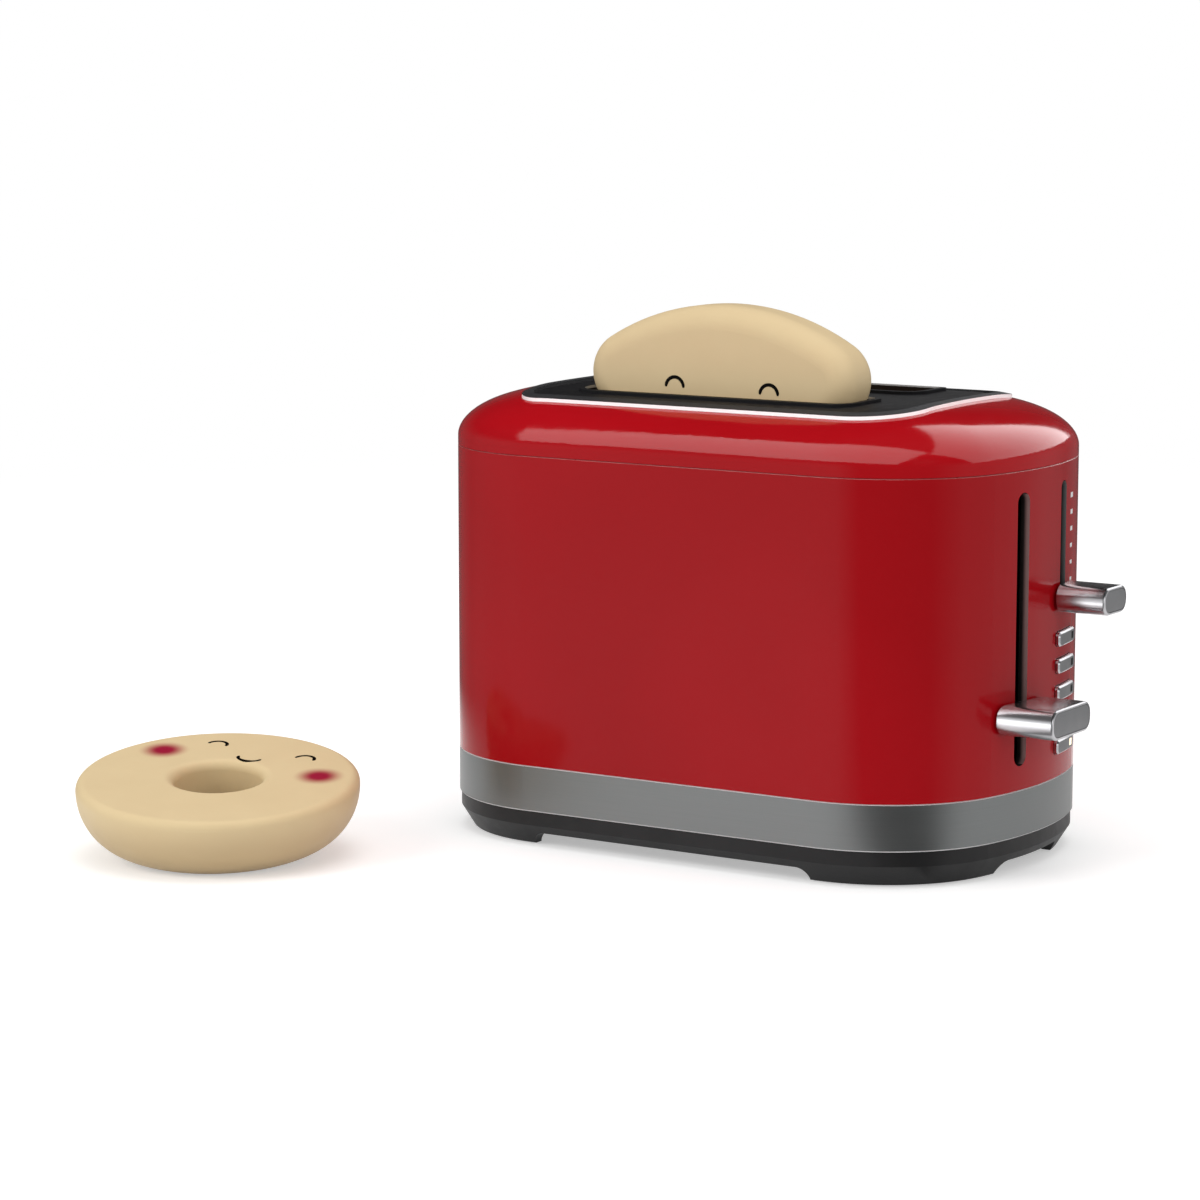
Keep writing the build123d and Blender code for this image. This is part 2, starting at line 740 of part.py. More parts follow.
# ---- toy food ------------------------------------------------------------
def make_slice():
    """Soft-edged bread slice standing on the front cradle."""
    side_x = lobe_half_width - lobe_radius
    crown_radius = (side_x ** 2 + (lobe_height - slice_height) ** 2 - lobe_radius ** 2)
    crown_radius /= 2 * (slice_height - lobe_height - lobe_radius)
    crown_low = slice_height - crown_radius
    lean = Vector(side_x, lobe_height - crown_low).normalized()
    crown_end = Vector(0, crown_low) + lean * crown_radius
    neck_x = slice_half_width + neck_radius
    neck_z = lobe_height - sqrt((lobe_radius + neck_radius) ** 2 - (neck_x - side_x) ** 2)
    toward_neck = Vector(neck_x - side_x, neck_z - lobe_height).normalized()
    lobe_end = Vector(side_x, lobe_height) + toward_neck * lobe_radius
    neck_middle = Vector(neck_x, neck_z) - (toward_neck + Vector(1, 0)).normalized() * neck_radius
    foot_x_in = slice_half_width - slice_foot_corner
    foot_mid = slice_foot_corner * (1 - cos(radians(45)))
    edges = [ThreePointArc((-crown_end.X, crown_end.Y), (0, slice_height), (crown_end.X, crown_end.Y))]
    for side in (1, -1):
        lobe_tip = (side * lobe_half_width, lobe_height)
        edges.append(ThreePointArc((side * crown_end.X, crown_end.Y), lobe_tip, (side * lobe_end.X, lobe_end.Y)))
        neck_low = (side * slice_half_width, neck_z)
        neck_mid = (side * neck_middle.X, neck_middle.Y)
        edges.append(ThreePointArc((side * lobe_end.X, lobe_end.Y), neck_mid, neck_low))
        edges.append(Line(neck_low, (side * slice_half_width, slice_foot_corner)))
        bend = (side * (slice_half_width - foot_mid), foot_mid)
        edges.append(ThreePointArc((side * slice_half_width, slice_foot_corner), bend, (side * foot_x_in, 0)))
    edges.append(Line((-foot_x_in, 0), (foot_x_in, 0)))
    outline = Face(Wire(edges))
    body = extrude(Plane.XZ * outline, amount=slice_thickness / 2, both=True)
    body = fillet(body.edges().filter_by(lambda e: abs(abs(e.center().Y) - slice_thickness / 2) < 0.01), slice_edge)
    return Pos(slot_x + slice_offset, -slot_pitch / 2, deck_height) * body


def make_bagel():
    """Half bagel lying cut face up, tipped a little on its domed underside."""
    ring_radius = (bagel_radius + bagel_hole) / 2
    rise = bagel_height - bagel_edge
    bend = bagel_edge * (1 - cos(radians(45)))
    top = (bagel_hole + bagel_edge, bagel_radius - bagel_edge)
    edges = [Line((top[0], bagel_height), (top[1], bagel_height))]
    outer_bend = (bagel_radius - bend, bagel_height - bend)
    inner_bend = (bagel_hole + bend, bagel_height - bend)
    edges.append(ThreePointArc((top[1], bagel_height), outer_bend, (bagel_radius, rise)))
    edges.append(EllipticalCenterArc((ring_radius, rise), bagel_radius - ring_radius, rise, 180, arc_size=180))
    edges.append(ThreePointArc((bagel_hole, rise), inner_bend, (top[0], bagel_height)))
    body = revolve(Plane.XZ * Face(Wire(edges)), Axis.Z)
    tip_axis = (cos(radians(bagel_turn)), sin(radians(bagel_turn)), 0)
    body = body.rotate(Axis((0, 0, 0), tip_axis), bagel_tilt)
    return Pos(bagel_x, bagel_y, -body.bounding_box().min.Z) * body


# ---- all nodes -----------------------------------------------------------
nodes = {
    "base_tray": make_base(),
    "foot_pads": make_foot_pads(),
    "base_screws": make_base_screws(),
    "battery_door": make_battery_door(),
    "door_screw": make_door_screw(),
    "battery_cells": make_battery_cells(),
    "metal_band": make_band(),
    "body_shell": make_shell(),
    "top_cover": make_cover(),
    "panel_trim": make_panel_trim(),
    "top_panel": make_panel(),
    "chassis": make_chassis(),
    "chassis_screws": make_chassis_screws(),
    "guide_rods": make_guide_rods(),
    "lift_carriage": make_carriage(),
    "lever_arm": make_lever_arm(),
    "circuit_board": make_board(),
    "board_screws": make_board_screws(),
    "button_switches": make_switches(),
    "slide_control": make_slide_control(),
    "slider_stem": make_slider_stem(),
    "toast_slice": make_slice(),
    "loose_bagel_half": make_bagel(),
}

for place, side in (("front", -1), ("rear", 1)):
    nodes["slot_trim_" + place] = make_slot_trim(side * slot_pitch / 2)
    nodes["slot_liner_" + place] = make_liner(side * slot_pitch / 2)
    nodes["bread_cradle_" + place] = make_cradle(side * slot_pitch / 2)
    nodes["lift_spring_" + place] = make_spring(side)

lever_knob_size = (lever_knob_width, lever_knob_height, lever_knob_reach)
slider_knob_size = (slider_knob_width, slider_knob_height, slider_knob_reach)
lever_place = (lever_y, lever_height)
slider_place = (slider_y, slider_height)
nodes["lever_knob"] = make_knob(*lever_knob_size, *lever_place, arm_width, arm_height)
nodes["lever_knob_face"] = make_knob_face(*lever_knob_size, *lever_place)
nodes["slider_knob"] = make_knob(*slider_knob_size, *slider_place, slider_stem_width, slider_stem_height)
nodes["slider_knob_face"] = make_knob_face(*slider_knob_size, *slider_place)

for number, button_z in enumerate(button_heights(), start=1):
    nodes["button_" + str(number)] = make_button(button_z)
    nodes["button_lens_" + str(number)] = lens_block(button_z, knob_face_gap)

os.makedirs("parts", exist_ok=True)
for name, shape in nodes.items():
    export_step(shape, "parts/" + name + ".step")
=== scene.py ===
import json
import math

import bmesh
import bpy
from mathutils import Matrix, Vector


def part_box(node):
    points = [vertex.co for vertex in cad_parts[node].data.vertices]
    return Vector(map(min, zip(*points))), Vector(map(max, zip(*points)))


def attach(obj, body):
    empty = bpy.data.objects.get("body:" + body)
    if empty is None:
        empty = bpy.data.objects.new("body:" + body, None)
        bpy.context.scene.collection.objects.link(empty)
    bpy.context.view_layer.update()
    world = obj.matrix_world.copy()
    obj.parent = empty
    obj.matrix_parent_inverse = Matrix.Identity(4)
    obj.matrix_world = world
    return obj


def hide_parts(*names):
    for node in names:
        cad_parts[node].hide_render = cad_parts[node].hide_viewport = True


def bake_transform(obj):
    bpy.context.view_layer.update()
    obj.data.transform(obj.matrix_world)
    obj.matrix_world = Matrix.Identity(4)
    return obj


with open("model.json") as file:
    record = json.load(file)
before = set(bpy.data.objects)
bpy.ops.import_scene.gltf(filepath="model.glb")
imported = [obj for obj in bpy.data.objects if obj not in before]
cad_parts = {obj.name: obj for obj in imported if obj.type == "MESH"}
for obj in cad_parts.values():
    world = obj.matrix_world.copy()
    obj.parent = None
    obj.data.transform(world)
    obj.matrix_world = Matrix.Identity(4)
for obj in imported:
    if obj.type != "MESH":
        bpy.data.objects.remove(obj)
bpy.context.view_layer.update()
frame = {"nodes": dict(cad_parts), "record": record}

nodes = frame["nodes"]
scene = bpy.context.scene
SLOT_TRIMS = ("slot_trim_front", "slot_trim_rear")
KEYS = tuple("button_" + str(number) for number in range(1, 6))


# ---- camera: fitted to the body's outlines in the photograph -------------------------

CAMERA_PLACE = (0.60186, -1.05121, 0.25742)
CAMERA_YAW = math.radians(32.283)
CAMERA_PITCH = math.radians(8.553)
SENSOR_WIDTH = 36.0
PHOTO_PIXELS = 1200
FOCAL_PIXELS = 3802.0
CLIP_NEAR = 0.01
CLIP_FAR = 50


def add_camera():
    data = bpy.data.cameras.new("camera")
    data.sensor_width = SENSOR_WIDTH
    data.lens = FOCAL_PIXELS / PHOTO_PIXELS * SENSOR_WIDTH
    data.clip_start = CLIP_NEAR
    data.clip_end = CLIP_FAR
    camera = bpy.data.objects.new("camera", data)
    camera.location = CAMERA_PLACE
    camera.rotation_euler = (math.pi / 2 - CAMERA_PITCH, 0, CAMERA_YAW)
    scene.collection.objects.link(camera)
    scene.camera = camera


# ---- colours, and the parts of a noise's range that shades are spread over -----------

def srgb(*levels):
    """A display colour of 0..255 levels as a linear colour."""
    linear = []
    for level in levels:
        share = level / 255
        linear.append(share / 12.92 if share <= 0.04045 else ((share + 0.055) / 1.055) ** 2.4)
    return (*linear, 1.0)


def grey(level):
    """A linear grey."""
    return (level, level, level, 1.0)


def scaled(color, factor):
    """A colour with its levels multiplied, as opaque as before."""
    return tuple(factor * level for level in color[:3]) + (1.0,)


WHITE = grey(1.0)
ALL_NOISE = (0.2, 0.8)
MOST_NOISE = (0.3, 0.7)
MID_NOISE = (0.35, 0.65)
CORE_NOISE = (0.4, 0.6)


# ---- node trees ----------------------------------------------------------------------

class Shader:
    """The node tree of a material or world, with short calls for the nodes in use here."""

    def __init__(self, owner, output="ShaderNodeOutputMaterial"):
        owner.use_nodes = True
        self.owner = owner
        self.tree = owner.node_tree
        self.tree.nodes.clear()
        self.output = self.new(output)
        self.coordinates = None

    def new(self, kind, **properties):
        node = self.tree.nodes.new(kind)
        for key, value in properties.items():
            setattr(node, key, value)
        return node

    def link(self, outlet, inlet):
        self.tree.links.new(outlet, inlet)

    def put(self, inlet, value):
        """Links another node's outlet to a socket, or sets a plain value on it."""
        if isinstance(value, bpy.types.NodeSocket):
            self.link(value, inlet)
        else:
            inlet.default_value = value

    def position(self, kind="Object"):
        """Object coordinates are metres in the part's frame, because CAD nodes sit at the origin."""
        if self.coordinates is None:
            self.coordinates = self.new("ShaderNodeTexCoord")
        return self.coordinates.outputs[kind]

    def mapping(self, scale=(1, 1, 1), place=(0, 0, 0)):
        node = self.new("ShaderNodeMapping")
        node.inputs["Location"].default_value = place
        node.inputs["Scale"].default_value = scale
        self.link(self.position(), node.inputs["Vector"])
        return node.outputs["Vector"]

    def axis(self, letter, vector=None):
        """One coordinate of a vector, or of the position where none is given."""
        node = self.new("ShaderNodeSeparateXYZ")
        self.link(vector or self.position(), node.inputs["Vector"])
        return node.outputs[letter]

    def noise(self, scale, detail=2.0, roughness=0.5, vector=None):
        node = self.new("ShaderNodeTexNoise")
        self.link(vector or self.position(), node.inputs["Vector"])
        node.inputs["Scale"].default_value = scale
        node.inputs["Detail"].default_value = detail
        node.inputs["Roughness"].default_value = roughness
        return node.outputs["Fac"]

    def spread(self, value, low, high, out_low=0.0, out_high=1.0, smooth=False):
        """Maps low..high to out_low..out_high."""
        node = self.new("ShaderNodeMapRange")
        node.interpolation_type = "SMOOTHSTEP" if smooth else "LINEAR"
        self.link(value, node.inputs["Value"])
        node.inputs["From Min"].default_value = low
        node.inputs["From Max"].default_value = high
        node.inputs["To Min"].default_value = out_low
        node.inputs["To Max"].default_value = out_high
        return node.outputs["Result"]

    def mix(self, factor, first, second, blend="MIX"):
        node = self.new("ShaderNodeMix", data_type="RGBA", blend_type=blend)
        self.put(node.inputs["Factor"], factor)
        self.put(node.inputs["A"], first)
        self.put(node.inputs["B"], second)
        return node.outputs["Result"]

    def math(self, operation, first, second):
        node = self.new("ShaderNodeMath", operation=operation)
        self.put(node.inputs[0], first)
        self.put(node.inputs[1], second)
        return node.outputs["Value"]

    def uneven(self, low, high, scale, detail=2.0):
        """A value that drifts between two limits over the surface."""
        return self.spread(self.noise(scale, detail), *MOST_NOISE, low, high)

    def mottled(self, color, shade, scale, detail=2.0):
        """A colour that drifts between two shades over the surface."""
        return self.mix(self.spread(self.noise(scale, detail), *CORE_NOISE), color, shade)

    def bump(self, height, strength, distance):
        node = self.new("ShaderNodeBump")
        node.inputs["Strength"].default_value = strength
        node.inputs["Distance"].default_value = distance
        self.link(height, node.inputs["Height"])
        return node.outputs["Normal"]

    def surface(self, color, roughness, metallic=0.0, normal=None, **sockets):
        """Ends a material: other sockets go by their names, with _ for each space."""
        node = self.new("ShaderNodeBsdfPrincipled")
        self.put(node.inputs["Base Color"], color)
        self.put(node.inputs["Roughness"], roughness)
        node.inputs["Metallic"].default_value = metallic
        for key, value in sockets.items():
            node.inputs[key.replace("_", " ")].default_value = value
        if normal:
            self.link(normal, node.inputs["Normal"])
        return self.finish(node.outputs["BSDF"])

    def plain(self, kind, color, **sockets):
        """The outlet of a shader that has a colour and little else."""
        node = self.new(kind)
        self.put(node.inputs["Color"], color)
        for key, value in sockets.items():
            node.inputs[key].default_value = value
        return node.outputs[0]

    def mix_shaders(self, factor, first, second):
        node = self.new("ShaderNodeMixShader")
        self.link(factor, node.inputs["Fac"])
        self.link(first, node.inputs[1])
        self.link(second, node.inputs[2])
        return node.outputs["Shader"]

    def finish(self, shader):
        """Links the last shader to the output, and gives the material or world."""
        self.link(shader, self.output.inputs["Surface"])
        return self.owner


def new_shader(name):
    """An empty material's node tree."""
    return Shader(bpy.data.materials.new(name))


# ---- finishes ------------------------------------------------------------------------

# Name, colour, second shade, roughness, scale and depth of the grain, metallic, specular level.
GRAINED = (
    ("black_plastic", (29, 29, 30), (34, 34, 35), 0.45, 2400, 0.0001, 0.0, 0.3),
    ("pad_rubber", (30, 30, 30), (38, 38, 38), 0.85, 1800, 0.0002, 0.0, 0.5),
    ("screw_steel", (178, 178, 182), (150, 150, 154), 0.34, 1500, 0.0001, 1.0, 0.5),
    ("liner_black", (34, 33, 33), (42, 40, 39), 0.6, 2200, 0.0002, 0.0, 0.5),
    ("frame_plastic", (150, 150, 148), (160, 160, 157), 0.5, 1600, 0.0001, 0.0, 0.5),
    ("rod_steel", (186, 186, 190), (166, 166, 170), 0.28, 1800, 0.0001, 1.0, 0.5),
    ("knob_grey", (121, 122, 124), (126, 127, 129), 0.42, 2600, 0.0001, 0.0, 0.3),
    ("key_grey", (116, 117, 119), (124, 125, 127), 0.40, 2400, 0.0001, 0.0, 0.3),
    # Painted highlight: the panel trim's outward side is white.
    ("trim_painted_highlight", (246, 246, 247), (250, 250, 251), 0.4, 2000, 0.00002, 0.1, 0.5),
    # Painted shade: the slots' walls are near black.
    ("slot_painted_shade", (20, 18, 18), (26, 23, 23), 0.4, 2200, 0.00005, 0.0, 0.5),
    # Painted highlight: the band's bevels are near white.
    ("band_edge_painted_highlight", (236, 236, 237), (242, 242, 243), 0.34, 2000, 0.00003, 0.2, 0.5),
    # Painted highlight: the seam bevel is a paler red.
    ("seam_painted_highlight", (160, 66, 67), (166, 72, 73), 0.3, 1800, 0.00005, 0.0, 0.5),
)
GRAIN_DRIFT = 0.03
CHROME_DRIFT = 0.04
LIP_HEIGHT = 0.0008
LIP_BLUR = 0.0001
LINING_MOUTH_X = 0.0986
LEVER_LINING_DARK_X = 0.0974
SLIDER_LINING_DARK_X = 0.0970
LAMP_COLOR = (1.0, 0.86, 0.62, 1.0)
TRACKS_PER_METRE = 140
CELL_CHANGE_X = (-0.002, -0.0015)


def grained(name, color, shade, roughness, grain, depth, metallic, specular):
    """A finish whose colour drifts a little between two shades, with a fine surface grain."""
    shader = new_shader(name)
    drift = shader.spread(shader.noise(scale=90), *MID_NOISE)
    tint = shader.mix(drift, srgb(*color), srgb(*shade))
    rough = shader.uneven(roughness - GRAIN_DRIFT, roughness + GRAIN_DRIFT, scale=260, detail=3)
    grain_height = shader.noise(scale=grain, detail=3, roughness=0.6)
    normal = shader.bump(grain_height, strength=0.35, distance=depth)
    return shader.surface(tint, rough, metallic, normal, Specular_IOR_Level=specular)


def red_gloss():
    """Injection-moulded gloss red, with the faintest orange peel."""
    shader = new_shader("red_gloss")
    tint = shader.mottled(srgb(161, 11, 20), srgb(166, 12, 22), scale=14, detail=1)
    rough = shader.uneven(0.09, 0.12, scale=120)
    normal = shader.bump(shader.noise(scale=420), strength=0.02, distance=0.0001)
    return shader.surface(tint, rough, normal=normal, IOR=1.25)


def satin_band():
    """Brushed aluminium. Its lines run round the body, so they are fine along Z only."""
    shader = new_shader("satin_band")
    coarse = shader.noise(scale=1, detail=4, roughness=0.7, vector=shader.mapping((18, 18, 5200)))
    fine = shader.noise(scale=1, vector=shader.mapping((60, 60, 14000)))
    coarse_part = shader.math("MULTIPLY", coarse, 0.6)
    fine_part = shader.math("MULTIPLY", fine, 0.4)
    lines = shader.math("ADD", coarse_part, fine_part)
    tint = shader.mix(shader.spread(lines, *MOST_NOISE), srgb(123, 126, 126), srgb(131, 134, 134))
    rough = shader.spread(lines, *MOST_NOISE, 0.34, 0.42)
    normal = shader.bump(lines, strength=0.05, distance=0.0001)
    return shader.surface(tint, rough, metallic=1.0, normal=normal)


def chrome(name, color, roughness):
    """Polished metal with the least unevenness in colour and gloss."""
    shader = new_shader(name)
    rough = shader.uneven(roughness, roughness + CHROME_DRIFT, scale=200, detail=3)
    tint = shader.mottled(color, scaled(color, 0.97), scale=60)
    normal = shader.bump(shader.noise(scale=900), strength=0.02, distance=0.0001)
    return shader.surface(tint, rough, metallic=1.0, normal=normal)


def slot_lip_painted_light():
    """Painted highlight on the lip inside a bread slot, which gives way to painted shade on the dark neck
    below it.
    """
    shader = new_shader("slot_lip_painted_light")
    lip_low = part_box("slot_trim_front")[1].z - LIP_HEIGHT
    on_lip = shader.spread(shader.axis("Z"), lip_low - LIP_BLUR, lip_low + LIP_BLUR)
    tint = shader.mix(on_lip, srgb(48, 36, 30), srgb(246, 246, 247))
    rough = shader.spread(on_lip, 0, 1, 0.6, 0.25)
    return shader.surface(tint, rough, metallic=0.45)


def slot_lining(name, dark_x, color):
    """Side wall of a slot in the end wall, light at its mouth, with painted shade that darkens it within.
    """
    shader = new_shader(name)
    near_mouth = shader.spread(shader.axis("X"), dark_x, LINING_MOUTH_X)
    tint = shader.mix(near_mouth, srgb(30, 24, 24), color)
    rough = shader.uneven(0.28, 0.34, scale=260, detail=3)
    normal = shader.bump(shader.noise(scale=2200), strength=0.2, distance=0.00005)
    return shader.surface(tint, rough, normal=normal)


def panel_black():
    """Satin black top panel with a very fine spark-eroded grain."""
    shader = new_shader("panel_black")
    fleck = shader.noise(scale=2600, roughness=0.6)
    tint = shader.mix(shader.spread(fleck, *MID_NOISE), srgb(30, 30, 32), srgb(38, 38, 40))
    rough = shader.uneven(0.50, 0.56, scale=300)
    normal = shader.bump(fleck, strength=0.25, distance=0.0001)
    return shader.surface(tint, rough, normal=normal, IOR=1.22)


def lens(name, color, glow):
    """Small window of a key, which glows where it is lit."""
    shader = new_shader(name)
    tint = shader.mottled(color, scaled(color, 0.9), scale=800)
    return shader.surface(tint, roughness=0.35, IOR=1.15, Emission_Color=LAMP_COLOR,
                          Emission_Strength=glow)


def printed(name, color):
    """Flat ink or paint."""
    shader = new_shader(name)
    tint = shader.mottled(color, scaled(color, 0.92), scale=900)
    normal = shader.bump(shader.noise(scale=2400), strength=0.1, distance=0.00005)
    return shader.surface(tint, roughness=0.6, normal=normal, Specular_IOR_Level=0.1)


def board_green():
    """Solder resist with faint copper tracks under it."""
    shader = new_shader("board_green")
    tracks = shader.new("ShaderNodeTexBrick")
    shader.link(shader.mapping((1, TRACKS_PER_METRE, TRACKS_PER_METRE)), tracks.inputs["Vector"])
    tracks.inputs["Color1"].default_value = srgb(24, 82, 44)
    tracks.inputs["Color2"].default_value = srgb(20, 74, 40)
    tracks.inputs["Mortar"].default_value = srgb(46, 112, 62)
    return shader.surface(tracks.outputs["Color"], roughness=0.35)


def cell_jacket():
    """A plain cell jacket, copper-coloured at one end and dark green at the other."""
    shader = new_shader("cell_jacket")
    at_green_end = shader.spread(shader.axis("X"), *CELL_CHANGE_X)
    tint = shader.mix(at_green_end, srgb(150, 96, 52), srgb(34, 74, 56))
    normal = shader.bump(shader.noise(scale=500), strength=0.05, distance=0.0001)
    return shader.surface(tint, roughness=0.3, normal=normal)


def make_finishes():
    """The record's finishes, and those of faces that differ within a node."""
    finishes = {row[0]: grained(*row) for row in GRAINED}
    finishes["cell_jacket"] = cell_jacket()
    finishes["satin_band"] = satin_band()
    finishes["red_gloss"] = red_gloss()
    finishes["bright_trim"] = chrome("bright_trim", srgb(225, 225, 228), 0.12)
    finishes["knob_chrome"] = chrome("knob_chrome", srgb(198, 198, 201), 0.21)
    finishes["panel_black"] = panel_black()
    finishes["board_green"] = board_green()
    finishes["slot_lip_painted_light"] = slot_lip_painted_light()
    # The linings' painted shade darkens them away from the slot's mouth.
    finishes["lever_lining_painted_shade"] = slot_lining("lever_lining_painted_shade", LEVER_LINING_DARK_X, srgb(158, 124, 122))
    finishes["slider_lining_painted_shade"] = slot_lining("slider_lining_painted_shade", SLIDER_LINING_DARK_X, srgb(128, 130, 130))
    finishes["key_lens"] = lens("key_lens", srgb(9, 9, 10), 0.0)
    finishes["key_lens_lit"] = lens("key_lens_lit", srgb(255, 240, 214), 1.2)
    return finishes


# ---- places --------------------------------------------------------------------------

RAY_LENGTH = 0.5
BAGEL_TURN = math.radians(6)
BAGEL_MIDDLE = Vector((-0.12665, -0.12298, 0))
BAGEL_RIGHT = Vector((math.cos(BAGEL_TURN), math.sin(BAGEL_TURN), 0))
BAGEL_UP = Vector((-math.sin(BAGEL_TURN), math.cos(BAGEL_TURN), 0))
SLICE_TURN = math.radians(-1.4)
SLICE_MIDDLE = Vector((0.0030, 0, 0.1452))
SLICE_RIGHT = Vector((math.cos(SLICE_TURN), 0, math.sin(SLICE_TURN)))
SLICE_UP = Vector((-math.sin(SLICE_TURN), 0, math.cos(SLICE_TURN)))


def box_middle(node):
    """The middle of a node's box at rest."""
    low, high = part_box(node)
    return (low + high) / 2


def on_surface(node, point, toward):
    """Where a line from outside first meets a node, and the surface's own direction there."""
    start = point - toward * RAY_LENGTH
    found, place, normal, _ = nodes[node].ray_cast(start, toward)
    if not found:
        raise ValueError("no surface of " + node + " at " + str(point))
    return place, normal


def bagel_point(right, up):
    """A spot on the half bagel's cut side, to the right of and above its middle."""
    flat = BAGEL_MIDDLE + BAGEL_RIGHT * right + BAGEL_UP * up
    return on_surface("loose_bagel_half", flat, Vector((0, 0, -1)))


def slice_point(right, up):
    """A spot on the slice's front, to the right of and above a point at its slot's mouth."""
    flat = SLICE_MIDDLE + SLICE_RIGHT * right + SLICE_UP * up
    return on_surface("toast_slice", flat, Vector((0, 1, 0)))


def end_wall_point(y, z):
    """A spot on the outside of the end wall that carries the controls."""
    return on_surface("body_shell", Vector((0, y, z)), Vector((-1, 0, 0)))


# ---- bread ---------------------------------------------------------------------------

CHEEK_RADIUS = 0.0088
CHEEK_CORE = 0.25
CHEEK_GAP = 0.02875
BAGEL_CHEEK_UP = 0.0137
SLICE_CHEEK_UP = -0.0115
# Painted shade on the bagel's side: a share of brown below the lower height, fading out by the upper.
SIDE_SHADE_LOW = 0.009
SIDE_SHADE_HIGH = 0.020
SIDE_SHADE_SHARE = 0.28
SIDE_SHADE_BROWN = srgb(150, 118, 82)
CRIMSON = srgb(166, 4, 52)


def bread(name, color, shade, face_point, cheek_up, shaded_low=False):
    """Smooth painted bread with a soft mottle, fine pores, cheeks and, if the flag is set, painted shade
    low down.
    """
    shader = new_shader(name)
    mottle = shader.noise(scale=70, detail=3, roughness=0.55)
    tint = shader.mix(shader.spread(mottle, *ALL_NOISE), color, shade)
    # Painted shade: darker towards the bottom.
    if shaded_low:
        side_shade = shader.mix(SIDE_SHADE_SHARE, tint, SIDE_SHADE_BROWN)
        above_side_shade = shader.spread(shader.axis("Z"), SIDE_SHADE_LOW, SIDE_SHADE_HIGH, smooth=True)
        tint = shader.mix(above_side_shade, side_shade, tint)
    for side in (-1, 1):
        tint = blush(shader, tint, face_point(side * CHEEK_GAP, cheek_up)[0])
    rough = shader.uneven(0.46, 0.54, scale=180)
    pores = shader.noise(scale=1500, roughness=0.6)
    normal = shader.bump(pores, strength=0.12, distance=0.0002)
    return shader.surface(tint, rough, normal=normal, Specular_IOR_Level=0.45)


def blush(shader, tint, place):
    """A soft crimson cheek, blurred at its rim."""
    gap = shader.new("ShaderNodeVectorMath", operation="DISTANCE")
    shader.link(shader.position(), gap.inputs[0])
    gap.inputs[1].default_value = place
    core = CHEEK_RADIUS * CHEEK_CORE
    amount = shader.spread(gap.outputs["Value"], core, CHEEK_RADIUS, 1.0, 0.0, smooth=True)
    return shader.mix(amount, tint, CRIMSON)


# ---- finishes of the CAD nodes -------------------------------------------------------

def finish_nodes(finishes):
    """Every CAD node takes the finish of its material slot, and each bread node has its own."""
    breads = {
        "loose_bagel_half": bread("bread_bagel", srgb(228, 204, 159), srgb(231, 208, 163),
                                  bagel_point, BAGEL_CHEEK_UP, shaded_low=True),
        "toast_slice": bread("bread_slice", srgb(215, 191, 149), srgb(218, 195, 153),
                             slice_point, SLICE_CHEEK_UP),
    }
    for part in frame["record"]["subparts"]:
        name = part["node"]
        data = nodes[name].data
        data.materials.clear()
        data.materials.append(breads.get(name) or finishes[part["material_slot"]])
        for polygon in data.polygons:
            polygon.material_index = 0


def split_finish(name, others, choose):
    """Adds finishes to a node: choose gives a face's finish, by its middle and direction."""
    data = nodes[name].data
    for material in others:
        data.materials.append(material)
    for polygon in data.polygons:
        polygon.material_index = choose(polygon.center, polygon.normal)


# Faces are told apart by how far their direction points along an axis, from 0 to 1.
MOSTLY = 0.5
BEVEL_SLOPES = (0.3, 0.9)
SEAM_SLOPE = 0.3
KEY_FRONT = 0.85
SEAM_BEVEL = 0.0005
INSIDE_WALL_X = 0.09
LEVER_SLOT_HALF = 0.00335
SLIDER_SLOT_HALF = 0.0026


def split_band(finishes):
    """The band's bevels are bright, a painted highlight."""
    def face(middle, normal):
        return int(BEVEL_SLOPES[0] < abs(normal.z) < BEVEL_SLOPES[1])
    split_finish("metal_band", [finishes["band_edge_painted_highlight"]], face)


def split_panel_trim(finishes):
    """Only the outward side of the frame round the panel shows as a bright line, a painted highlight."""
    def face(middle, normal):
        inward = middle.x * normal.x + middle.y * normal.y < 0
        return int(normal.z > MOSTLY or inward)
    split_finish("panel_trim", [finishes["panel_black"]], face)
    # The outward faces show a white painted highlight.
    nodes["panel_trim"].data.materials[0] = finishes["trim_painted_highlight"]


def split_slot_trim(name, finishes):
    """A slot's trim is dark, with a bright lip on its inward side: the lip's painted highlight and
    painted shade.
    """
    slot_middle = box_middle(name)

    def face(middle, normal):
        toward_slot = slot_middle - middle
        inward = toward_slot.x * normal.x + toward_slot.y * normal.y > 0
        return 2 if inward and abs(normal.z) < MOSTLY else 1
    split_finish(name, [finishes["panel_black"], finishes["slot_lip_painted_light"]], face)


def split_shell(finishes):
    """The shell's seam bevel is paler, a painted highlight, and its slots get painted shade: dark walls,
    with a lighter lining on one side that darkens deeper in.
    """
    seam_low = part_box("body_shell")[1].z - SEAM_BEVEL
    lever_y, slider_y = box_middle("lever_arm").y, box_middle("slider_stem").y
    others = [finishes[name] for name in ("slot_painted_shade", "lever_lining_painted_shade", "seam_painted_highlight", "slider_lining_painted_shade")]

    def face(middle, normal):
        # The seam bevel takes a painted highlight.
        if middle.z > seam_low and normal.z > SEAM_SLOPE:
            return 3
        in_lever = abs(middle.y - lever_y) < LEVER_SLOT_HALF
        in_slider = abs(middle.y - slider_y) < SLIDER_SLOT_HALF
        if middle.x < INSIDE_WALL_X or abs(normal.x) > MOSTLY or not (in_lever or in_slider):
            return 0
        # Painted shade: slot walls that face away from -Y are dark.
        if normal.y > -MOSTLY:
            return 1
        # Walls that face -Y take a lining with painted shade deeper in.
        return 2 if in_lever else 4
    split_finish("body_shell", others, face)


